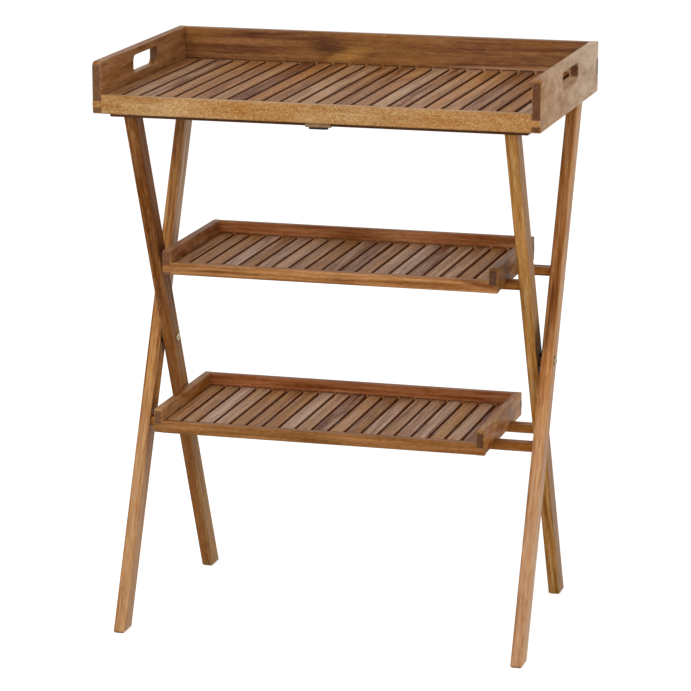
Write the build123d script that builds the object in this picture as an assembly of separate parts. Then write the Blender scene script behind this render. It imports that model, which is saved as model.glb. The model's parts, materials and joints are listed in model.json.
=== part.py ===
from build123d import *
import os
from math import asin, atan2, degrees, hypot, tan

# Folding tray table: two crossed leg frames carry a deep-sided tray and two slatted shelves.
# X runs to the right, Y to the back, Z up. The floor is Z = 0 and the origin is under the middle.

# Tray
tray_width = 640.0
tray_depth = 388.0
tray_underside = 760.0
tray_board = 13.0
tray_end_height = 73.0
tray_rail_height = 26.0
tray_front_tongue = 9.0
tray_back_tongue = 24.0
tray_front_radius = 8.0
tray_corner_chamfer = 2.0
tray_seat = 6.0
tray_cleat_width = 24.0
tray_cleat_height = 11.0
tray_slat_thickness = 9.0
tray_slat_count = 24
tray_slat_gap = 5.5

# Hand slots in the tray ends
slot_length = 108.0
slot_height = 25.0
slot_radius = 9.0
slot_below_top = 11.0
slot_easing = 1.2

# Shelves
middle_shelf_underside = 519.5
lower_shelf_underside = 285.0
lower_shelf_shift = -16.0
shelf_depth = 240.0
shelf_side_play = 19.5
shelf_board = 12.0
shelf_end_height = 35.0
shelf_rail_height = 17.0
shelf_left_tongue = 10.0
shelf_left_tongue_rise = 3.5
shelf_right_tongue = 11.0
shelf_back_tongue = 12.0
shelf_front_radius = 5.0
shelf_corner_chamfer = 2.0
shelf_seat = 6.0
shelf_cleat_width = 12.0
shelf_cleat_height = 8.0
shelf_slat_thickness = 9.0
shelf_slat_count = 19
shelf_slat_gap = 4.8

# Notches in the shelf ends, straight at the top and flared at the mouth
notch_clearance = 1.5
notch_straight = 2.5
notch_flare = 3.0

# Legs and their rails
leg_thickness = 17.5
leg_width = 29.5
leg_rounding = 2.5
foot_chamfer = 3.0
leg_gap = 3.5
pivot_height = 400.0
top_rail_width = 30.0
top_rail_thickness = 12.0
top_rail_overhang = 7.0
top_rail_play = 1.0
top_rail_end_play = 4.0
inner_top_rail_setback = 4.0
shelf_rail_width = 22.0
shelf_rail_thickness = 12.0
rail_easing = 2.0
tenon_length = 10.0
tenon_width = 14.0
tenon_thickness = 7.0
glue_gap = 0.1

# Eased edges
board_easing = 1.0
slat_easing = 0.8

# Slat ends, which butt on the front rail and enter mortises in the back board
slat_end_gap = 0.5
slat_tenon = 2.5
mortise_side_play = 0.5
mortise_headroom = 1.5

# Pivot bolt, washer and sleeve nut
bolt_radius = 3.0
bolt_head_radius = 7.0
bolt_head_height = 2.0
sleeve_radius = 4.0
sleeve_flange_radius = 5.5
sleeve_flange_height = 2.0
washer_radius = 10.0
washer_play = 0.1
running_clearance = 0.05
bolt_end_gap = 1.0
hex_key_radius = 2.2
hex_key_depth = 1.2

# Screws in the leg tops
screw_radius = 2.0
screw_head_radius = 4.0
screw_head_height = 2.5
screw_length = 40.0

# Turn catch under the front rail
catch_shift = 6.0
catch_block_length = 36.0
catch_block_depth = 9.0
catch_plate_length = 28.0
catch_plate_width = 9.0
catch_plate_thickness = 2.5
catch_play = 0.3
catch_screw_radius = 2.0
catch_screw_head_radius = 3.6
catch_screw_head_height = 1.6
catch_screw_grip = 5.0

# Places that follow from the sizes above
tray_inner_width = tray_width - 2 * tray_board
tray_rim_y = tray_depth / 2 - tray_board
rail_end = tray_inner_width / 2 - top_rail_end_play
outer_leg_x = rail_end - leg_thickness / 2
inner_leg_x = outer_leg_x - leg_thickness - leg_gap
inner_face_x = inner_leg_x - leg_thickness / 2
outer_face_x = outer_leg_x - leg_thickness / 2
shelf_width = 2 * (inner_face_x - shelf_side_play)
top_rail_top = tray_underside + tray_seat
leg_top = top_rail_top - top_rail_thickness
top_rail_edge = tray_rim_y - top_rail_play
leg_edge_y = top_rail_edge - top_rail_overhang
leg_rise = leg_top - pivot_height
lean = atan2(leg_edge_y, leg_rise) - asin(leg_width / 2 / hypot(leg_edge_y, leg_rise))
leg_half_length = hypot(leg_width, leg_width * tan(lean)) / 2
leg_top_y = leg_rise * tan(lean)
middle_rail_z = middle_shelf_underside + shelf_seat - shelf_rail_thickness / 2
lower_rail_z = lower_shelf_underside + shelf_seat - shelf_rail_thickness / 2
middle_rail_y = (middle_rail_z - pivot_height) * tan(lean)
lower_rail_y = (pivot_height - lower_rail_z) * tan(lean)
tray_front_edges = ((tray_rail_height - tray_front_tongue) / 2, (tray_rail_height + tray_front_tongue) / 2)
tray_back_edges = ((tray_end_height - tray_back_tongue) / 2, (tray_end_height + tray_back_tongue) / 2)
shelf_left_edges = (shelf_left_tongue_rise, shelf_left_tongue_rise + shelf_left_tongue)
shelf_right_edges = (0, shelf_right_tongue)
shelf_back_edges = ((shelf_end_height - shelf_back_tongue) / 2, (shelf_end_height + shelf_back_tongue) / 2)
bolt_hole = bolt_radius + running_clearance
sleeve_hole = sleeve_radius + running_clearance

TO_FRONT = -1
TO_REAR = 1
LEFT = -1
RIGHT = 1


def corner(face, y_side, z_side):
    """The vertex of an end-board face at its front or rear (y_side) and top or bottom (z_side)."""
    return face.vertices().sort_by(lambda v: y_side * v.X + z_side * v.Y)[-1]


def ease_outline(board):
    """Ease both outlines of a board that lies across X."""
    outer = board.faces().sort_by(Axis.X)
    return chamfer(outer[0].edges() + outer[-1].edges(), board_easing)


def end_board(depth, height, thickness, front_radius, corner_chamfer):
    """An end board standing on Z = 0 across X, rounded at its front top corner."""
    face = Pos(0, height / 2) * Rectangle(depth, height)
    face = fillet(corner(face, TO_FRONT, 1), front_radius)
    face = chamfer([corner(face, TO_FRONT, -1), corner(face, TO_REAR, -1)], corner_chamfer)
    board = extrude(Plane.YZ * face, thickness / 2, both=True)
    return ease_outline(board)


def tongue_block(thickness, edges):
    """A square tongue between its lower and its upper edge, also the tool that cuts the opening for it."""
    low, high = edges
    return Pos(0, 0, (low + high) / 2) * Box(thickness, thickness, high - low)


def finger_cut(board, depth, thickness, y_side, edges):
    """Cut the opening in an end board through which a rail's tongue passes."""
    return board - Pos(0, y_side * (depth - thickness) / 2, 0) * tongue_block(thickness, edges)


def tongued_board(inner_width, thickness, height, left_edges, right_edges):
    """A front rail or back board on Z = 0, with a tongue at each end to pass through the end board."""
    board = Pos(0, 0, height / 2) * Box(inner_width, thickness, height)
    board = chamfer(board.edges().filter_by(Axis.X), board_easing)
    tongue_x = (inner_width + thickness) / 2
    board = board + Pos(LEFT * tongue_x, 0, 0) * tongue_block(thickness, left_edges)
    return board + Pos(RIGHT * tongue_x, 0, 0) * tongue_block(thickness, right_edges)


def slat_spots(inner_width, count):
    """The places of the slats' middles, evenly spread over the inner width."""
    pitch = inner_width / count
    return [Pos(pitch * (index + 0.5) - inner_width / 2, 0, 0) for index in range(count)]


def slat_row(inner_width, inner_depth, thickness, count, gap):
    """Slats running front to back on Z = 0, from the front rail into the back board."""
    width = inner_width / count - gap
    length = inner_depth - slat_end_gap + slat_tenon
    slat = Pos(0, (slat_end_gap + slat_tenon) / 2, thickness / 2) * Box(width, length, thickness)
    slat = chamfer(slat.edges().filter_by(Axis.Y).group_by(Axis.Z)[-1], slat_easing)
    return [spot * slat for spot in slat_spots(inner_width, count)]


def mortised(board, inner_width, board_thickness, slat_z, thickness, count, gap):
    """A back board with a mortise for each slat's rear end, a little wider and higher than the slat."""
    width = inner_width / count - gap + 2 * mortise_side_play
    depth = slat_tenon + slat_end_gap
    height = thickness + mortise_headroom
    mortise = Pos(0, -board_thickness / 2, slat_z + height / 2) * Box(width, 2 * depth, height)
    return board - [spot * mortise for spot in slat_spots(inner_width, count)]


def cleat(length, width, height):
    """A strip on Z = 0 that carries the slat ends."""
    return Pos(0, 0, height / 2) * Box(length, width, height)


def hand_slot():
    """The tool that cuts a hand slot through a tray end."""
    slot_z = tray_end_height - slot_below_top - slot_height / 2
    face = Pos(0, slot_z) * RectangleRounded(slot_length, slot_height, slot_radius)
    return extrude(Plane.YZ * face, tray_board, both=True)


def tray_end():
    board = end_board(tray_depth, tray_end_height, tray_board, tray_front_radius, tray_corner_chamfer)
    slot = hand_slot()
    cut_board = board - slot
    rims = new_edges(board, slot, combined=cut_board).filter_by(Plane.YZ)
    board = chamfer(rims, slot_easing)
    board = finger_cut(board, tray_depth, tray_board, TO_FRONT, tray_front_edges)
    return finger_cut(board, tray_depth, tray_board, TO_REAR, tray_back_edges)


def shelf_notch(rail_y):
    """The tool that cuts one notch, with a flared mouth, over a cross rail at rail_y."""
    half = shelf_rail_width / 2 + notch_clearance
    mouth = half + notch_flare
    flare_top = shelf_seat - notch_straight
    face = make_face(Polyline(
        (rail_y - mouth, 0),
        (rail_y - half, flare_top),
        (rail_y - half, shelf_seat),
        (rail_y + half, shelf_seat),
        (rail_y + half, flare_top),
        (rail_y + mouth, 0),
        close=True,
    ))
    return extrude(Plane.YZ * face, shelf_board, both=True)


def shelf_end(rail_y, front_edges):
    board = end_board(shelf_depth, shelf_end_height, shelf_board, shelf_front_radius, shelf_corner_chamfer)
    board = board - shelf_notch(-rail_y) - shelf_notch(rail_y)
    board = finger_cut(board, shelf_depth, shelf_board, TO_FRONT, front_edges)
    return finger_cut(board, shelf_depth, shelf_board, TO_REAR, shelf_back_edges)


def shelf_pieces(name, underside, shift, rail_y):
    """The pieces of one shelf, by node name."""
    place = Pos(shift, 0, underside)
    inner_width = shelf_width - 2 * shelf_board
    inner_depth = shelf_depth - 2 * shelf_board
    end_x = (shelf_width - shelf_board) / 2
    rim_y = (shelf_depth - shelf_board) / 2
    cleat_y = (inner_depth - shelf_cleat_width) / 2
    strip = cleat(inner_width, shelf_cleat_width, shelf_cleat_height)
    front_rail = tongued_board(
        inner_width, shelf_board, shelf_rail_height, shelf_left_edges, shelf_right_edges)
    back_board = tongued_board(
        inner_width, shelf_board, shelf_end_height, shelf_back_edges, shelf_back_edges)
    slat_sizes = (shelf_slat_thickness, shelf_slat_count, shelf_slat_gap)
    back_board = mortised(back_board, inner_width, shelf_board, shelf_cleat_height, *slat_sizes)
    slats = slat_row(inner_width, inner_depth, *slat_sizes)
    return {
        name + "_left_end": place * Pos(LEFT * end_x, 0, 0) * shelf_end(rail_y, shelf_left_edges),
        name + "_right_end": place * Pos(RIGHT * end_x, 0, 0) * shelf_end(rail_y, shelf_right_edges),
        name + "_front_rail": place * Pos(0, TO_FRONT * rim_y, 0) * front_rail,
        name + "_back_board": place * Pos(0, TO_REAR * rim_y, 0) * back_board,
        name + "_front_cleat": place * Pos(0, TO_FRONT * cleat_y, 0) * strip,
        name + "_rear_cleat": place * Pos(0, TO_REAR * cleat_y, 0) * strip,
        name + "_slats": [place * Pos(0, 0, shelf_cleat_height) * slat for slat in slats],
    }


def tray_pieces():
    """The pieces of the tray, by node name."""
    place = Pos(0, 0, tray_underside)
    inner_depth = tray_depth - 2 * tray_board
    end_x = (tray_width - tray_board) / 2
    rim_y = (tray_depth - tray_board) / 2
    cleat_y = (inner_depth - tray_cleat_width) / 2
    end = tray_end()
    strip = cleat(tray_inner_width, tray_cleat_width, tray_cleat_height)
    front_rail = tongued_board(
        tray_inner_width, tray_board, tray_rail_height, tray_front_edges, tray_front_edges)
    back_board = tongued_board(
        tray_inner_width, tray_board, tray_end_height, tray_back_edges, tray_back_edges)
    slat_z = tray_seat + tray_cleat_height
    slat_sizes = (tray_slat_thickness, tray_slat_count, tray_slat_gap)
    back_board = mortised(back_board, tray_inner_width, tray_board, slat_z, *slat_sizes)
    slats = slat_row(tray_inner_width, inner_depth, *slat_sizes)
    return {
        "tray_left_end": place * Pos(LEFT * end_x, 0, 0) * end,
        "tray_right_end": place * Pos(RIGHT * end_x, 0, 0) * end,
        "tray_front_rail": place * Pos(0, TO_FRONT * rim_y, 0) * front_rail,
        "tray_back_board": place * Pos(0, TO_REAR * rim_y, 0) * back_board,
        "tray_front_cleat": place * Pos(0, TO_FRONT * cleat_y, tray_seat) * strip,
        "tray_rear_cleat": place * Pos(0, TO_REAR * cleat_y, tray_seat) * strip,
        "tray_slats": [place * Pos(0, 0, slat_z) * slat for slat in slats],
    }


def countersunk_screw(radius, head_radius, head_height, length, clearance):
    """A screw with its head level with Z = 0, driven down, or with a clearance the hole for it."""
    shank = extrude(Circle(radius + clearance), -length - clearance)
    head = Pos(0, 0, -head_height / 2) * Cone(radius + clearance, head_radius + clearance, head_height)
    return shank + head


def catch_screw(clearance):
    """The screw on which the catch turns, its head sunk in the plate's underside."""
    length = catch_plate_thickness + catch_play + catch_screw_grip
    return Rot(180, 0, 0) * countersunk_screw(
        catch_screw_radius, catch_screw_head_radius, catch_screw_head_height, length, clearance)


def catch_pieces():
    """The wooden block under the tray's front rail, the plate that turns below it, and its screw."""
    catch_y = TO_FRONT * (tray_rim_y + catch_block_depth / 2)
    plate_z = leg_top - catch_play - catch_plate_thickness
    block_height = tray_underside - leg_top
    block_place = Pos(catch_shift, catch_y, leg_top + block_height / 2)
    place = Pos(catch_shift, catch_y, plate_z)
    block = Box(catch_block_length, catch_block_depth, block_height)
    plate = extrude(SlotOverall(catch_plate_length, catch_plate_width), catch_plate_thickness)
    return {
        "catch_block": block_place * block - place * catch_screw(glue_gap),
        "catch_plate": place * (plate - catch_screw(running_clearance)),
        "catch_screw": place * catch_screw(0),
    }


def leg(top_side):
    """A leaning leg across X, foot and top cut level, its top at the front or rear (top_side)."""
    foot_y = -top_side * pivot_height * tan(lean)
    top_y = top_side * leg_top_y
    face = make_face(Polyline(
        (foot_y - leg_half_length, 0),
        (foot_y + leg_half_length, 0),
        (top_y + leg_half_length, leg_top),
        (top_y - leg_half_length, leg_top),
        close=True,
    ))
    bar = extrude(Plane.YZ * face, leg_thickness / 2, both=True)
    bar = chamfer(bar.faces().sort_by(Axis.Z)[0].edges(), foot_chamfer)
    long_edges = [edge for edge in bar.edges() if edge.length > leg_rise]
    return fillet(long_edges, leg_rounding)


def rail_tenon(reach, clearance):
    """The tenon that runs through a shelf rail from end to end, out to reach on both sides."""
    return Box(2 * (reach + clearance), tenon_width + 2 * clearance, tenon_thickness + 2 * clearance)


def shelf_rail(face_x):
    """A shelf rail between two legs whose inner faces are at face_x, with a stub tenon at each end."""
    rail = Box(2 * face_x, shelf_rail_width, shelf_rail_thickness)
    rail = chamfer(rail.edges().filter_by(Axis.X), rail_easing)
    return rail + rail_tenon(face_x + tenon_length, 0)


def top_rail(half_length):
    rail = Box(2 * half_length, top_rail_width, top_rail_thickness)
    return chamfer(rail.edges().filter_by(Axis.X), rail_easing)


def top_screw(clearance):
    """The screw that holds a top rail on a leg."""
    return countersunk_screw(screw_radius, screw_head_radius, screw_head_height, screw_length, clearance)


def frame_pieces(name, top_side, leg_x, face_x, top_rail_half, hole_radius):
    """One leg frame, by node name: two legs, a top rail with its screws, and two shelf rails."""
    rails = {
        "_middle_rail": Pos(0, top_side * middle_rail_y, middle_rail_z),
        "_lower_rail": Pos(0, -top_side * lower_rail_y, lower_rail_z),
    }
    bar = leg(top_side)
    bar = bar - Pos(0, 0, pivot_height) * Rot(0, 90, 0) * Cylinder(hole_radius, leg_thickness)
    screw_place = Pos(0, top_side * leg_top_y, top_rail_top)
    bar = bar - screw_place * top_screw(glue_gap)
    mortises = [spot * rail_tenon(face_x + tenon_length, glue_gap) for spot in rails.values()]
    rail_y = top_side * (top_rail_edge - top_rail_width / 2)
    rail = Pos(0, rail_y, top_rail_top - top_rail_thickness / 2) * top_rail(top_rail_half)
    pieces = {}
    screws = []
    for side, word in ((LEFT, "left"), (RIGHT, "right")):
        pieces[name + "_" + word + "_leg"] = Pos(side * leg_x, 0, 0) * bar - mortises
        spot = Pos(side * leg_x, 0, 0) * screw_place
        rail = rail - spot * top_screw(glue_gap)
        screws.append(spot * top_screw(0))
    pieces[name + "_top_rail"] = rail
    pieces[name + "_top_rail_screws"] = screws
    for word, spot in rails.items():
        pieces[name + word] = spot * shelf_rail(face_x)
    return pieces


def hex_socket():
    """The tool that cuts a hex socket down from Z = 0."""
    return extrude(RegularPolygon(hex_key_radius, 6), -hex_key_depth)


def pivot_pieces():
    """Bolts, washers and sleeve nuts, left and right, built on Z and then laid along X."""
    bolt_length = 2 * leg_thickness + leg_gap - bolt_end_gap
    bolt = extrude(Circle(bolt_radius), -bolt_length)
    head = extrude(Circle(bolt_head_radius), bolt_head_height)
    head = chamfer(head.edges().group_by(Axis.Z)[-1], bolt_head_height / 2)
    bolt = bolt + head - Pos(0, 0, bolt_head_height) * hex_socket()
    washer_bottom = -leg_thickness - leg_gap + washer_play / 2
    washer = extrude(Circle(washer_radius) - Circle(bolt_hole), leg_gap - washer_play)
    sleeve_top = -leg_thickness - leg_gap
    nut_face = sleeve_top - leg_thickness
    sleeve = Pos(0, 0, nut_face) * extrude(Circle(sleeve_radius), leg_thickness)
    flange = Pos(0, 0, nut_face) * extrude(Circle(sleeve_flange_radius), -sleeve_flange_height)
    socket = Pos(0, 0, nut_face - sleeve_flange_height + hex_key_depth) * hex_socket()
    bore = Pos(0, 0, sleeve_top) * extrude(Circle(bolt_hole), -leg_thickness + bolt_end_gap / 2)
    nut = sleeve + flange - bore - socket
    spots = []
    for side in (LEFT, RIGHT):
        spots.append(Pos(side * rail_end, 0, pivot_height) * Rot(0, side * 90, 0))
    return {
        "pivot_bolts": [spot * bolt for spot in spots],
        "pivot_washers": [spot * Pos(0, 0, washer_bottom) * washer for spot in spots],
        "pivot_sleeve_nuts": [spot * nut for spot in spots],
    }


def all_pieces():
    """Every node of the table, by name."""
    pieces = {}
    inner_rail_half = rail_end - inner_top_rail_setback
    pieces.update(frame_pieces("inner", TO_FRONT, inner_leg_x, inner_face_x, inner_rail_half, sleeve_hole))
    pieces.update(frame_pieces("outer", TO_REAR, outer_leg_x, outer_face_x, rail_end, bolt_hole))
    pieces.update(pivot_pieces())
    pieces.update(tray_pieces())
    pieces.update(catch_pieces())
    pieces.update(shelf_pieces("middle_shelf", middle_shelf_underside, 0, middle_rail_y))
    pieces.update(shelf_pieces("lower_shelf", lower_shelf_underside, lower_shelf_shift, lower_rail_y))
    return pieces


os.makedirs("parts", exist_ok=True)
for node, piece in all_pieces().items():
    solid = Compound(children=piece) if isinstance(piece, list) else piece
    export_step(solid, "parts/" + node + ".step")
print("lean %.2f degrees, shelf width %.1f mm" % (degrees(lean), shelf_width))
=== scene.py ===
import json
import math
import bpy
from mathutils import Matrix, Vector


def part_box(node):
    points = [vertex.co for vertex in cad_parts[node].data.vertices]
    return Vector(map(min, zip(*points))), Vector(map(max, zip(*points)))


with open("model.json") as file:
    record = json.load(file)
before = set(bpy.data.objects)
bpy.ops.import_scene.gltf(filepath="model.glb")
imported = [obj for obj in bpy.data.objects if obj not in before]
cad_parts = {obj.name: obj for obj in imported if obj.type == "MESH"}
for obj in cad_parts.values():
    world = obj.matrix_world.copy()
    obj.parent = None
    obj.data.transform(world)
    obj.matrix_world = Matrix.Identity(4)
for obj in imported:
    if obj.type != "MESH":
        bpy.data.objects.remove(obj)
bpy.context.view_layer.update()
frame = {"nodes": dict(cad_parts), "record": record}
nodes = frame["nodes"]
bpy.context.scene.view_settings.view_transform = "Standard"


# Outer leg frame: two bars of oiled acacia that stand on their front feet and lean to the rear, so their
# front faces look up into the light. Planed, rounded on all long edges and joined by the cross rails below.
def linear(colour):
    """An sRGB hex colour as linear red, green, blue and alpha."""
    shares = [int(colour[place:place + 2], 16) / 255 for place in (1, 3, 5)]
    return [s / 12.92 if s <= 0.04045 else ((s + 0.055) / 1.055) ** 2.4 for s in shares] + [1.0]


def add_node(tree, kind, links=None, values=None, **settings):
    """A node of that kind with its settings, its input values and the outputs that feed it."""
    node = tree.nodes.new(kind)
    for setting, value in settings.items():
        setattr(node, setting, value)
    for socket, value in (values or {}).items():
        node.inputs[socket].default_value = value
    for socket, source in (links or {}).items():
        tree.links.new(source, node.inputs[socket])
    return node


MM_PER_M = 1000.0


def oiled_acacia(name, turn, tones, seed, streak=6.0, stretch=20.0, patch=40.0, warmth=0.5, ring=6.0,
                 lines=0.3, fleck=2.0, dash=5.0, contrast=0.15, wear_and_highlight=0.4, roughness=0.42, sheen=0.2,
                 row=None, fades=(), marks=()):
    """Oiled acacia, planed and sanded. It shows long streaks of dark and pale wood, warmer patches, growth
    lines, short flecks where the grain is interlocked, darker end grain, paler edges, rubbed and painted
    lighter as highlights, and a low sheen.

    turn lays the grain along the piece. tones are the dark, pale, warm and end-grain colours. streak, patch,
    ring and fleck are widths in mm. stretch and dash say how many times longer a streak and a fleck are than
    wide. warmth, lines, contrast and wear_and_highlight say how strong the patches, lines, flecks and the
    edges' wear and painted highlight are.
    The real pores are about 0.2 mm wide, too fine to show, so the flecks that they make are drawn coarser.

    row gives the start and the pitch in mm of slats that each come from a board of their own, whose sides
    are painted dark as shade in the gaps between them. Each of fades gives a direction in the grain's own
    axes, the place in mm along it where the wood starts to turn to another tone, such as sapwood, or paler
    or darker wood painted in as light and shade, the place where it has turned, how far that edge strays in
    mm, and the tone.
    Each of marks, a knot, a flash or a spot of painted shade, gives its centre and half size in mm, its
    slant and its tone."""
    material = bpy.data.materials.new(name)
    material.use_nodes = True
    tree = material.node_tree
    shader = tree.nodes["Principled BSDF"]
    dark, pale, warm, end = (linear(tone) for tone in tones)

    # Streaks and patches run along the grain.
    place = add_node(tree, "ShaderNodeTexCoord")
    grain = add_node(tree, "ShaderNodeMapping", {"Vector": place.outputs["Object"]},
                     {"Rotation": turn, "Scale": (MM_PER_M, MM_PER_M, MM_PER_M)})
    fibre = add_node(tree, "ShaderNodeMapping", {"Vector": grain.outputs[0]},
                     {"Scale": (1 / stretch, 1, 1)})
    streaks = add_node(tree, "ShaderNodeTexNoise", {"Vector": fibre.outputs[0]},
                       {"W": seed, "Scale": 1 / streak, "Detail": 3.0, "Roughness": 0.6},
                       noise_dimensions="4D")
    patch_squeeze = 0.3
    cloud = add_node(tree, "ShaderNodeMapping", {"Vector": grain.outputs[0]},
                     {"Scale": (patch_squeeze, 1, 1)})
    patches = add_node(tree, "ShaderNodeTexNoise", {"Vector": cloud.outputs[0]},
                       {"W": seed + 0.5, "Scale": 1 / patch, "Detail": 2.0}, noise_dimensions="4D")

    # Rings lie round the middle of the log, which is off the board and a little askew to it. At a scale of
    # 1 the rings of a Wave texture are wave_turn apart.
    log_askew = (0, 0.02, 0.035)
    log_offset = (0, 9 * math.sin(seed), 14)
    log_stretch = 6
    wave_turn = 2 * math.pi / 20
    log = add_node(tree, "ShaderNodeMapping", {"Vector": grain.outputs[0]},
                   {"Rotation": log_askew, "Scale": (1 / log_stretch, 1, 1), "Location": log_offset})
    rings = add_node(tree, "ShaderNodeTexWave", {"Vector": log.outputs[0]},
                     {"Scale": wave_turn / ring, "Distortion": 6.0, "Detail": 2.0, "Detail Scale": 0.5},
                     wave_type="RINGS", rings_direction="X")
    short = add_node(tree, "ShaderNodeMapping", {"Vector": grain.outputs[0]}, {"Scale": (1 / dash, 1, 1)})
    flecks = add_node(tree, "ShaderNodeTexNoise", {"Vector": short.outputs[0]},
                      {"W": seed, "Scale": 1 / fleck, "Detail": 2.0, "Roughness": 0.6},
                      noise_dimensions="4D")

    # The share of pale wood, the share of warm wood, and how squarely a face looks along the grain.
    all_dark, all_pale = 0.36, 0.64
    share = add_node(tree, "ShaderNodeMapRange", {"Value": streaks.outputs["Fac"]},
                     {"From Min": all_dark, "From Max": all_pale})
    not_warm, all_warm = 0.4, 0.65
    glow = add_node(tree, "ShaderNodeMapRange", {"Value": patches.outputs["Fac"]},
                    {"From Min": not_warm, "From Max": all_warm, "To Max": warmth})
    facing = add_node(tree, "ShaderNodeMapping", {"Vector": place.outputs["Normal"]}, {"Rotation": turn},
                      vector_type="VECTOR")
    along = add_node(tree, "ShaderNodeSeparateXYZ", {"Vector": facing.outputs[0]})
    end_grain_and_gap_shade = add_node(tree, "ShaderNodeMath", {0: along.outputs["X"]}, operation="ABSOLUTE")
    if row:
        # A slat's number gives it noise, a share of pale wood and a warmth of its own.
        start, pitch = row
        across = add_node(tree, "ShaderNodeSeparateXYZ", {"Vector": place.outputs["Object"]})
        count = add_node(tree, "ShaderNodeMath", {0: across.outputs["X"]},
                         {1: MM_PER_M / pitch, 2: -start / pitch}, operation="MULTIPLY_ADD")
        index = add_node(tree, "ShaderNodeMath", {0: count.outputs[0]}, operation="FLOOR")
        board = add_node(tree, "ShaderNodeMath", {0: index.outputs[0]}, {1: seed}, operation="ADD")
        chance = add_node(tree, "ShaderNodeTexWhiteNoise", {"W": board.outputs[0]}, noise_dimensions="1D")
        chances = add_node(tree, "ShaderNodeSeparateColor", {"Color": chance.outputs["Color"]})
        for noise in (streaks, patches, flecks):
            tree.links.new(board.outputs[0], noise.inputs["W"])
        own_tone, own_warmth = 0.5, 0.75
        blend = add_node(tree, "ShaderNodeMix", {"A": share.outputs[0], "B": chance.outputs["Value"]},
                         {"Factor": own_tone})
        slat_dark, slat_pale = 0.25, 0.75
        share = add_node(tree, "ShaderNodeMapRange", {"Value": blend.outputs[0]},
                         {"From Min": slat_dark, "From Max": slat_pale})
        own = add_node(tree, "ShaderNodeMath", {0: chances.outputs["Green"]}, {1: warmth},
                       operation="MULTIPLY")
        glow = add_node(tree, "ShaderNodeMix", {"A": glow.outputs[0], "B": own.outputs[0]},
                        {"Factor": own_warmth})
        # Painted shade: a slat's sides are marked to take the dark end tone, for the shade in the gaps
        # between slats.
        side_gap_shade = add_node(tree, "ShaderNodeMath", {0: along.outputs["Y"]}, operation="ABSOLUTE")
        end_grain_and_gap_shade = add_node(tree, "ShaderNodeMath", {0: end_grain_and_gap_shade.outputs[0], 1: side_gap_shade.outputs[0]},
                         operation="MAXIMUM")

    # The wood's colour: streaks, then warm patches, growth lines, fades and marks.
    body = add_node(tree, "ShaderNodeMixRGB", {"Fac": share.outputs[0]}, {"Color1": dark, "Color2": pale})
    warmed = add_node(tree, "ShaderNodeMixRGB", {"Fac": glow.outputs[0], "Color1": body.outputs[0]},
                      {"Color2": warm})
    line_start, line_full = 0.5, 1.0
    growth = add_node(tree, "ShaderNodeMapRange", {"Value": rings.outputs["Fac"]},
                      {"From Min": line_start, "From Max": line_full, "To Max": lines})
    wood = add_node(tree, "ShaderNodeMixRGB", {"Fac": growth.outputs[0], "Color1": warmed.outputs[0]},
                    {"Color2": dark})
    fade_depth = 0.9
    fade_streaks = 0.55
    for direction, fade_start, fade_end, stray, fade_tone in fades:
        reach = add_node(tree, "ShaderNodeVectorMath", {0: grain.outputs[0]}, {1: direction},
                         operation="DOT_PRODUCT")
        wavy = add_node(tree, "ShaderNodeMath", {0: patches.outputs["Fac"], 2: reach.outputs["Value"]},
                        {1: stray}, operation="MULTIPLY_ADD")
        faded = add_node(tree, "ShaderNodeMapRange", {"Value": wavy.outputs[0]},
                         {"From Min": fade_start, "From Max": fade_end, "To Max": fade_depth})
        kept = add_node(tree, "ShaderNodeMath", {0: share.outputs[0]},
                        {1: fade_streaks, 2: 1 - fade_streaks}, operation="MULTIPLY_ADD")
        streaked = add_node(tree, "ShaderNodeMath", {0: faded.outputs[0], 1: kept.outputs[0]},
                            operation="MULTIPLY")
        wood = add_node(tree, "ShaderNodeMixRGB", {"Fac": streaked.outputs[0], "Color1": wood.outputs[0]},
                        {"Color2": linear(fade_tone)})
    mark_edge, mark_core, mark_depth = 0.04, 0.3, 0.85
    for centre, half_size, slant, mark_tone in marks:
        spot = add_node(tree, "ShaderNodeMapping", {"Vector": grain.outputs[0]},
                        {"Location": centre, "Rotation": (0, slant, 0), "Scale": half_size},
                        vector_type="TEXTURE")
        middle = add_node(tree, "ShaderNodeTexGradient", {"Vector": spot.outputs[0]},
                          gradient_type="SPHERICAL")
        ragged = add_node(tree, "ShaderNodeMath", {0: middle.outputs["Fac"], 1: streaks.outputs["Fac"]},
                          operation="MULTIPLY")
        mark = add_node(tree, "ShaderNodeMapRange", {"Value": ragged.outputs[0]},
                        {"From Min": mark_edge, "From Max": mark_core, "To Max": mark_depth})
        wood = add_node(tree, "ShaderNodeMixRGB", {"Fac": mark.outputs[0], "Color1": wood.outputs[0]},
                        {"Color2": linear(mark_tone)})

    # End grain is darker, the slats' sides are painted darker as shade in the gaps, and flecks deepen and
    # lighten all of it.
    end_start, end_full, end_depth = 0.75, 0.95, 0.85
    cut = add_node(tree, "ShaderNodeMapRange", {"Value": end_grain_and_gap_shade.outputs[0]},
                   {"From Min": end_start, "From Max": end_full, "To Max": end_depth})
    sawn_and_gap_shaded = add_node(tree, "ShaderNodeMixRGB", {"Fac": cut.outputs[0], "Color1": wood.outputs[0]},
                    {"Color2": end})
    fleck_low, fleck_high = 0.3, 0.7
    depth = add_node(tree, "ShaderNodeMapRange", {"Value": flecks.outputs["Fac"]},
                     {"From Min": fleck_low, "From Max": fleck_high,
                      "To Min": 1 - contrast, "To Max": 1 + contrast})
    flecked = add_node(tree, "ShaderNodeGamma", {"Color": sawn_and_gap_shaded.outputs[0], "Gamma": depth.outputs[0]})

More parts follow.
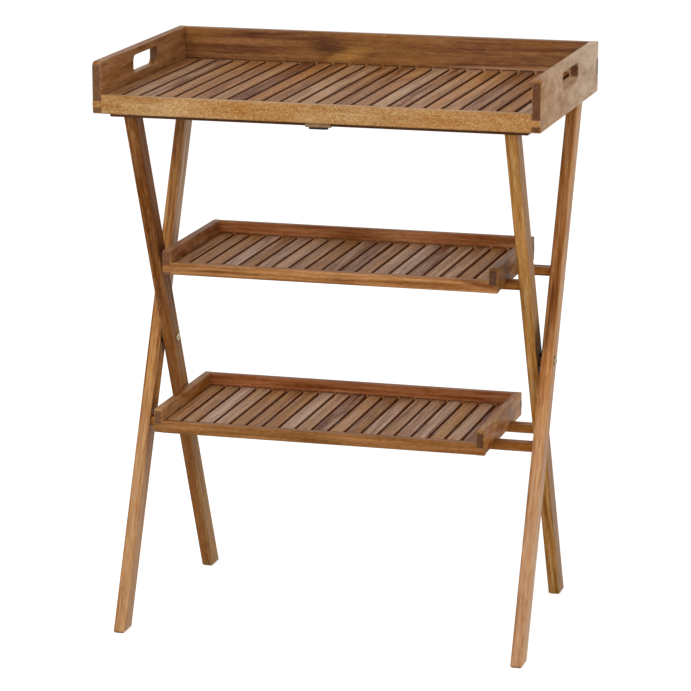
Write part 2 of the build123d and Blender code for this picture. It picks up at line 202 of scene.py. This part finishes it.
    # Sanded edges are a little round. Where the rounded face turns from the flat one they are rubbed paler,
    # and painted paler still as a highlight.
    edge_round = 0.0016
    soft = add_node(tree, "ShaderNodeBevel", None, {"Radius": edge_round}, samples=4)
    surface = add_node(tree, "ShaderNodeNewGeometry")
    turned = add_node(tree, "ShaderNodeVectorMath", {0: soft.outputs[0], 1: surface.outputs["True Normal"]},
                      operation="DOT_PRODUCT")
    flat_face, round_edge = 0.99, 0.85
    rubbed_and_highlit = add_node(tree, "ShaderNodeMapRange", {"Value": turned.outputs["Value"]},
                      {"From Min": flat_face, "From Max": round_edge, "To Max": wear_and_highlight})
    worn_and_highlit = add_node(tree, "ShaderNodeMixRGB", {"Fac": rubbed_and_highlit.outputs[0], "Color1": flecked.outputs[0]},
                    {"Color2": pale})

    # Pale streaks shine a little more than dark ones, and the pores are shallow pits.
    gloss_swing = 0.08
    gloss = add_node(tree, "ShaderNodeMapRange", {"Value": streaks.outputs["Fac"]},
                     {"To Min": roughness + gloss_swing, "To Max": roughness - gloss_swing})
    pore_depth = 0.0002
    relief = add_node(tree, "ShaderNodeBump", {"Height": flecks.outputs["Fac"], "Normal": soft.outputs[0]},
                      {"Strength": 0.3, "Distance": pore_depth})
    shader.inputs["Specular IOR Level"].default_value = sheen
    tree.links.new(worn_and_highlit.outputs[0], shader.inputs["Base Color"])
    tree.links.new(gloss.outputs[0], shader.inputs["Roughness"])
    tree.links.new(relief.outputs[0], shader.inputs["Normal"])
    return material


def finish_piece(node, material):
    """Gives a CAD node its finish."""
    nodes[node].material_slots[0].material = material


foot = next(mount["pos_m"] for mount in frame["record"]["mounts"] if mount["name"] == "front_left_foot")
pivot = next(joint["pos_m"] for joint in frame["record"]["behaviour"]["joints"] if joint["name"] == "fold")
leg_lean = math.atan2(-foot[1], pivot[2])
TO_REAR = (leg_lean, math.radians(90), 0.0)
# Ways that a leg fades: up the leg, across it to the left, and across it so that a strip widens to the top.
ALONG_GRAIN = (1.0, 0.0, 0.0)
ACROSS = (0.0, 0.0, 1.0)
TOP_TAPER = (-0.01, 0.0, 1.0)
lively = {"patch": 25.0, "fleck": 1.6, "dash": 10.0, "contrast": 0.2}
# Painted sheen: the outer legs turn paler towards the foot, where the lower legs catch the soft box's sheen.
outer_foot_painted_sheen = (338.0, 128.0)
# Painted shade: the left outer leg darkens near its top, for the tray's shadow on it.
outer_top_painted_shade = (605.0, 743.0)
leg_stray = 16.0
strip_stray = 3.0
left_leg_side = -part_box("outer_left_leg")[1].x * MM_PER_M
# Each outer leg turns paler along its right side, partly sapwood and partly painted sheen on that side.
left_leg_sapwood_and_sheen = (left_leg_side - 1.5, left_leg_side - 4.5)
right_leg_side = -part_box("outer_right_leg")[1].x * MM_PER_M
right_leg_sapwood_and_sheen = (right_leg_side + 3.0, right_leg_side)
finish_piece("outer_left_leg", oiled_acacia(
    "oiled_acacia_outer_left_leg", TO_REAR, ("#743A0E", "#CC9454", "#A86A26", "#5E3A20"), 1,
    sheen=0.1, **lively,
    fades=((ALONG_GRAIN, *outer_foot_painted_sheen, leg_stray, "#BE9064"),
           (ALONG_GRAIN, *outer_top_painted_shade, leg_stray, "#2C180A"),
           (TOP_TAPER, *left_leg_sapwood_and_sheen, strip_stray, "#DCB488"))))
finish_piece("outer_right_leg", oiled_acacia(
    "oiled_acacia_outer_right_leg", TO_REAR, ("#7C4210", "#CA9058", "#AA6A32", "#5E3A20"), 2,
    sheen=0.07, **lively,
    fades=((ALONG_GRAIN, *outer_foot_painted_sheen, leg_stray, "#C69A74"),
           (ACROSS, *right_leg_sapwood_and_sheen, strip_stray, "#C89C6C"))))


# Inner leg frame: two bars of oiled acacia like the outer ones, which stand on the rear feet and lean to the
# front. They are bolted to the inner sides of the outer legs, and turn on the sleeve nuts. Both are painted
# paler towards the foot, as painted light below the tray's shade, and the left one turns paler along its
# right side towards the foot. The right one's right side is painted darker, with a darker spot beside its
# washer, as painted shade where the outer leg crosses it.
TO_FRONT = (-leg_lean, math.radians(90), 0.0)
# Across the leg, so that a strip widens to the foot.
FOOT_TAPER = (0.01, 0.0, 1.0)
# A half size in mm that takes a mark right through any board.
THROUGH = 500.0
inner_foot_painted_light = (428.0, 258.0)
inner_leg_side = -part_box("inner_left_leg")[1].x * MM_PER_M
inner_left_strip = (inner_leg_side + 7.0, inner_leg_side + 3.5)
finish_piece("inner_left_leg", oiled_acacia(
    "oiled_acacia_inner_left_leg", TO_FRONT, ("#5E300E", "#9E6C40", "#844C18", "#4E3020"), 3,
    sheen=0.02, **lively,
    fades=((ALONG_GRAIN, *inner_foot_painted_light, leg_stray, "#A06A3A"),
           (FOOT_TAPER, *inner_left_strip, strip_stray, "#BC9260"))))
inner_right_side = -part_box("inner_right_leg")[1].x * MM_PER_M
inner_right_painted_shade = (inner_right_side + 2.2, inner_right_side + 1.2)
inner_right_stray = 2.0
washer_painted_shade = ((385.0, 162.0, inner_right_side), (65.0, THROUGH, 3.0), 0.0, "#2E1608")
finish_piece("inner_right_leg", oiled_acacia(
    "oiled_acacia_inner_right_leg", TO_FRONT, ("#84500E", "#D4A468", "#BC7C34", "#5A3A22"), 4,
    sheen=0.05, **lively,
    fades=((ACROSS, *inner_right_painted_shade, inner_right_stray, "#866244"),),
    marks=(washer_painted_shade,)))


# Cross rails: flat bars screwed to the leg tops under the tray, and slimmer ones tenoned between the legs
# under each shelf, all with the grain along them.
GRAIN_ALONG_X = (0.0, 0.0, 0.0)
FIRST_RAIL_SEED = 10
rail_tones = ("#6E3A0E", "#B87A38", "#A0602A", "#4A2C1A")
# The top rails' tones are darker: painted shade for where they sit under the tray's front rail.
top_rail_painted_shade_tones = ("#4A2A14", "#6E4424", "#5E3818", "#3A2414")
plain = {"wear_and_highlight": 0.12, "sheen": 0.07}
for seed, rail in enumerate(("inner_top_rail", "outer_top_rail", "inner_middle_rail",
                             "outer_middle_rail", "inner_lower_rail", "outer_lower_rail")):
    finish_piece(rail, oiled_acacia(
        "oiled_acacia_" + rail, GRAIN_ALONG_X, top_rail_painted_shade_tones if "top" in rail else rail_tones,
        FIRST_RAIL_SEED + seed, **plain))


# Pivot and screws: zinc-plated steel bolts, washers, sleeve nuts and countersunk screws. The plating is a
# little yellow and cloudy, with a soft shine. It is dulled on the bolts' heads, which lie outside, and the
# washers between the legs are painted dark, as painted shade in the narrow gap between the legs.
plating_cloud = 2.0
for finish, dull, bright, fasteners in (
    ("zinc_plated_steel", "#A09468", "#CCC098",
     ("pivot_sleeve_nuts", "inner_top_rail_screws", "outer_top_rail_screws")),
    ("dulled_zinc_plated_steel", "#827250", "#A69576", ("pivot_bolts",)),
    ("shade_painted_zinc_plated_steel", "#241A12", "#46382A", ("pivot_washers",)),
):
    zinc = bpy.data.materials.new(finish)
    zinc.use_nodes = True
    zinc_shader = zinc.node_tree.nodes["Principled BSDF"]
    zinc_shader.inputs["Metallic"].default_value = 1.0
    zinc_place = add_node(zinc.node_tree, "ShaderNodeTexCoord")
    zinc_cloud = add_node(zinc.node_tree, "ShaderNodeTexNoise", {"Vector": zinc_place.outputs["Object"]},
                          {"Scale": MM_PER_M / plating_cloud, "Detail": 3.0})
    zinc_tone = add_node(zinc.node_tree, "ShaderNodeMixRGB", {"Fac": zinc_cloud.outputs["Fac"]},
                         {"Color1": linear(dull), "Color2": linear(bright)})
    zinc_gloss = add_node(zinc.node_tree, "ShaderNodeMapRange", {"Value": zinc_cloud.outputs["Fac"]},
                          {"To Min": 0.35, "To Max": 0.5})
    zinc.node_tree.links.new(zinc_tone.outputs[0], zinc_shader.inputs["Base Color"])
    zinc.node_tree.links.new(zinc_gloss.outputs[0], zinc_shader.inputs["Roughness"])
    for fastener in fasteners:
        finish_piece(fastener, zinc)


# Shelves: open boxes of thin boards, finger-jointed at the corners, whose ends are notched over the cross
# rails. Nineteen slats lie front to back on a strip along the front rail and one along the back board. The
# middle shelf's front rail has a reddish streak near its right end.
GRAIN_ALONG_Y = (0.0, 0.0, math.radians(-90))
SHELF_SLATS = 19
shelf_slat_tones = ("#663820", "#D0AE96", "#B88246", "#743A10")
slat_figure = {"streak": 5.0, "stretch": 30.0, "patch": 18.0, "warmth": 0.9, "ring": 5.0, "lines": 0.35,
               "fleck": 1.6, "dash": 3.0, "contrast": 0.28, "wear_and_highlight": 0.25, "roughness": 0.5, "sheen": 0.08}
mottled = {"streak": 11.0, "stretch": 4.0, "patch": 28.0, "lines": 0.1, "wear_and_highlight": 0.2, "sheen": 0.07}
reddish_streak = ((222.0, 0.0, 531.0), (44.0, THROUGH, 6.0), 0.16, "#6E3A1A")
for shelf, first_seed, slat_seed, left_tones, right_tones, front_tones, back_tones, front_marks in (
    ("middle_shelf", 20, 281,
     ("#743C14", "#AC7A50", "#98602C", "#6A4430"), ("#5A3410", "#926438", "#7E5020", "#4A3226"),
     ("#7A481C", "#D09862", "#B0743E", "#7A4E2C"), ("#80461A", "#BC8256", "#AC663A", "#4E3020"),
     (reddish_streak,)),
    ("lower_shelf", 40, 29673,
     ("#7A4414", "#B88A5C", "#A4682A", "#6A4630"), ("#7E4410", "#BA8A56", "#A66828", "#4A3022"),
     ("#74481C", "#AE7848", "#9C6634", "#7A4E2C"), ("#783E18", "#BA7C50", "#AA6436", "#4E3020"),
     ()),
):
    inner_low, inner_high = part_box(shelf + "_left_end")[1].x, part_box(shelf + "_right_end")[0].x
    pitch = (inner_high - inner_low) / SHELF_SLATS * MM_PER_M
    for seed, (part, turn, tones, figure) in enumerate((
        ("_left_end", GRAIN_ALONG_Y, left_tones, mottled),
        ("_right_end", GRAIN_ALONG_Y, right_tones, mottled),
        ("_front_rail", GRAIN_ALONG_X, front_tones, {"streak": 7.0, "marks": front_marks, **plain}),
        ("_back_board", GRAIN_ALONG_X, back_tones, plain),
        ("_front_cleat", GRAIN_ALONG_X, rail_tones, plain),
        ("_rear_cleat", GRAIN_ALONG_X, rail_tones, plain),
    )):
        finish_piece(shelf + part, oiled_acacia(
            "oiled_acacia_" + shelf + part, turn, tones, first_seed + seed, **figure))
    finish_piece(shelf + "_slats", oiled_acacia(
        "oiled_acacia_" + shelf + "_slats", GRAIN_ALONG_Y, shelf_slat_tones, slat_seed,
        row=(inner_low * MM_PER_M, pitch), **slat_figure))


# Tray: deep end boards with hand slots, a tall back board and a low front rail, finger-jointed together.
# Twenty-four slats lie front to back on two strips, which rest on the top rails of the stand. The back board
# has sapwood along its foot, which rises to the right, and a dark knot with a golden flash below it.
TRAY_SLATS = 24
FIRST_TRAY_SEED = 60
TRAY_SLAT_SEED = 11476
TO_LEFT = (0.0, 1.0, 0.0)
RISING_RIGHT = (-0.022, 0.0, 1.0)
board_stray = 60.0
sapwood_stray = 16.0
right_end_fade = (-120.0, 240.0)
front_rail_fade = (40.0, 420.0)
back_board_fade = (796.0, 792.0)
slat_row_fade = (-200.0, 1900.0)
dark_knot = ((-84.0, 0.0, 812.0), (48.0, THROUGH, 24.0), 0.2, "#4E2810")
golden_flash = ((-52.0, 0.0, 800.0), (50.0, THROUGH, 13.0), -0.25, "#AC7C3A")
tray_inner_low, tray_inner_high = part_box("tray_left_end")[1].x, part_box("tray_right_end")[0].x
tray_pitch = (tray_inner_high - tray_inner_low) / TRAY_SLATS * MM_PER_M
speckled = {"streak": 12.0, "stretch": 7.0, "patch": 60.0, "lines": 0.0, "fleck": 1.8, "dash": 1.6,
            "contrast": 0.34, "wear_and_highlight": 0.15}
for seed, (part, turn, tones, figure) in enumerate((
    ("tray_left_end", GRAIN_ALONG_Y, ("#6A3C14", "#A87850", "#9A6430", "#6A4A34"),
     {**mottled, "streak": 9.0, "stretch": 10.0, "wear_and_highlight": 0.08}),
    ("tray_right_end", GRAIN_ALONG_Y, ("#885824", "#BE9870", "#A6723A", "#563222"),
     {**mottled, "streak": 18.0, "stretch": 2.5, "wear_and_highlight": 0.4,
      "fades": ((ALONG_GRAIN, *right_end_fade, board_stray, "#CAAE90"),)}),
    ("tray_front_rail", GRAIN_ALONG_X, ("#A06E36", "#BC9462", "#AC722E", "#6A4428"),
     {**speckled, "fades": ((ALONG_GRAIN, *front_rail_fade, board_stray, "#AA7236"),)}),
    ("tray_back_board", GRAIN_ALONG_X, ("#5A2C10", "#98683E", "#92602A", "#4E3222"),
     {"streak": 7.0, "stretch": 22.0, "patch": 50.0, "warmth": 0.8, "ring": 16.0, "lines": 0.25,
      "fades": ((RISING_RIGHT, *back_board_fade, sapwood_stray, "#BC8E6C"),),
      "marks": (dark_knot, golden_flash)}),
    ("tray_front_cleat", GRAIN_ALONG_X, rail_tones, plain),
    ("tray_rear_cleat", GRAIN_ALONG_X, ("#8E6A48", "#C49C74", "#B08050", "#6A4428"), {}),
    ("catch_block", GRAIN_ALONG_X, ("#76583A", "#9C7C54", "#8A683E", "#5A4028"), speckled),
)):
    finish_piece(part, oiled_acacia("oiled_acacia_" + part, turn, tones, FIRST_TRAY_SEED + seed, **figure))
# The tray's slats darken towards the left end.
finish_piece("tray_slats", oiled_acacia(
    "oiled_acacia_tray_slats", GRAIN_ALONG_Y, ("#5E3018", "#C09A7A", "#B07434", "#62300C"),
    TRAY_SLAT_SEED, row=(tray_inner_low * MM_PER_M, tray_pitch),
    fades=((TO_LEFT, *slat_row_fade, 0.0, "#3A2416"),), **slat_figure))


# Turn catch: a small black-painted steel plate on a screw, which swings under the front top rail. The paint
# is satin, with a fine orange peel.
orange_peel = 1.5
peel_depth = 0.0001
black_steel = bpy.data.materials.new("black_painted_steel")
black_steel.use_nodes = True
black_shader = black_steel.node_tree.nodes["Principled BSDF"]
black_place = add_node(black_steel.node_tree, "ShaderNodeTexCoord")
black_peel = add_node(black_steel.node_tree, "ShaderNodeTexNoise", {"Vector": black_place.outputs["Object"]},
                      {"Scale": MM_PER_M / orange_peel, "Detail": 2.0})
black_tone = add_node(black_steel.node_tree, "ShaderNodeMixRGB", {"Fac": black_peel.outputs["Fac"]},
                      {"Color1": linear("#0E0D0C"), "Color2": linear("#1C1A19")})
black_relief = add_node(black_steel.node_tree, "ShaderNodeBump", {"Height": black_peel.outputs["Fac"]},
                        {"Strength": 0.2, "Distance": peel_depth})
black_shader.inputs["Roughness"].default_value = 0.6
black_shader.inputs["Specular IOR Level"].default_value = 0.2
black_steel.node_tree.links.new(black_tone.outputs[0], black_shader.inputs["Base Color"])
black_steel.node_tree.links.new(black_relief.outputs[0], black_shader.inputs["Normal"])
for part in ("catch_plate", "catch_screw"):
    finish_piece(part, black_steel)


# Floor: a broad plain sheet of matt paper. What the camera and the reflections see of it is lifted to
# white, and the table's own soft shadow stays on it.
floor_size = 30.0
floor_glow = 0.72
bpy.ops.object.select_all(action="DESELECT")
bpy.ops.mesh.primitive_plane_add(size=floor_size)
floor = bpy.context.object
floor.name = "floor"
paper = bpy.data.materials.new("matt_white_paper")
paper.use_nodes = True
paper_shader = paper.node_tree.nodes["Principled BSDF"]
paper_shader.inputs["Base Color"].default_value = linear("#CFCFCF")
paper_shader.inputs["Roughness"].default_value = 0.9
paper_shader.inputs["Specular IOR Level"].default_value = 0.0
paper_shader.inputs["Emission Color"].default_value = linear("#FFFFFF")
paper_rays = add_node(paper.node_tree, "ShaderNodeLightPath")
paper_seen = add_node(paper.node_tree, "ShaderNodeMath",
                      {0: paper_rays.outputs["Is Camera Ray"], 1: paper_rays.outputs["Is Glossy Ray"]},
                      operation="MAXIMUM")
paper_shown = add_node(paper.node_tree, "ShaderNodeMath",
                       {0: paper_seen.outputs[0], 1: paper_rays.outputs["Is Transmission Ray"]},
                       operation="MAXIMUM")
paper_glow = add_node(paper.node_tree, "ShaderNodeMath", {0: paper_shown.outputs[0]}, {1: floor_glow},
                      operation="MULTIPLY")
paper.node_tree.links.new(paper_glow.outputs[0], paper_shader.inputs["Emission Strength"])
floor.data.materials.append(paper)


# Light: a white room all round, seen as plain white, one broad soft box at the front, to the left and
# above, which reaches in under the tray and shines on the leaning legs, and a weaker one at the right.
room_level = 0.56
room = bpy.data.worlds.new("white_room")
bpy.context.scene.world = room
room.use_nodes = True
room_rays = add_node(room.node_tree, "ShaderNodeLightPath")
room_seen = add_node(room.node_tree, "ShaderNodeMath",
                     {0: room_rays.outputs["Is Camera Ray"], 1: room_rays.outputs["Is Glossy Ray"]},
                     operation="MAXIMUM")
room_shown = add_node(room.node_tree, "ShaderNodeMath",
                      {0: room_seen.outputs[0], 1: room_rays.outputs["Is Transmission Ray"]},
                      operation="MAXIMUM")
room_strength = add_node(room.node_tree, "ShaderNodeMapRange", {"Value": room_shown.outputs[0]},
                         {"To Min": room_level, "To Max": 1.0})
room_light = room.node_tree.nodes["Background"]
room_light.inputs["Color"].default_value = linear("#FFFFFF")
room.node_tree.links.new(room_strength.outputs[0], room_light.inputs["Strength"])

light_aim = Vector((0.0, 0.0, 0.4))
for box_name, box_size, box_power, box_place in (
    ("front_soft_box", 2.4, 56.0, Vector((-0.6, -2.95, 2.35))),
    ("right_soft_box", 1.8, 23.0, Vector((2.9, -0.9, 1.2))),
):
    box_data = bpy.data.lights.new(box_name, "AREA")
    box_data.size = box_size
    box_data.energy = box_power
    soft_box = bpy.data.objects.new(box_name, box_data)
    bpy.context.scene.collection.objects.link(soft_box)
    soft_box.location = box_place
    soft_box.rotation_euler = (light_aim - box_place).to_track_quat("-Z", "Y").to_euler()


# Camera: a long lens at the photograph's angle, a little to the right of the front and above the tray. It
# takes in the whole table with a narrow margin.
camera_turn = math.radians(15.57)
camera_rise = math.radians(13.19)
camera_distance = 4.849
camera_aim = Vector((-0.00719, 0.0, 0.40276))
camera_data = bpy.data.cameras.new("camera")
camera_data.sensor_width = 36.0
camera_data.lens = 173.99
camera = bpy.data.objects.new("camera", camera_data)
bpy.context.scene.collection.objects.link(camera)
camera_back = Vector((math.sin(camera_turn) * math.cos(camera_rise),
                      -math.cos(camera_turn) * math.cos(camera_rise), math.sin(camera_rise)))
camera.location = camera_aim + camera_distance * camera_back
camera.rotation_euler = (-camera_back).to_track_quat("-Z", "Y").to_euler()
bpy.context.scene.camera = camera
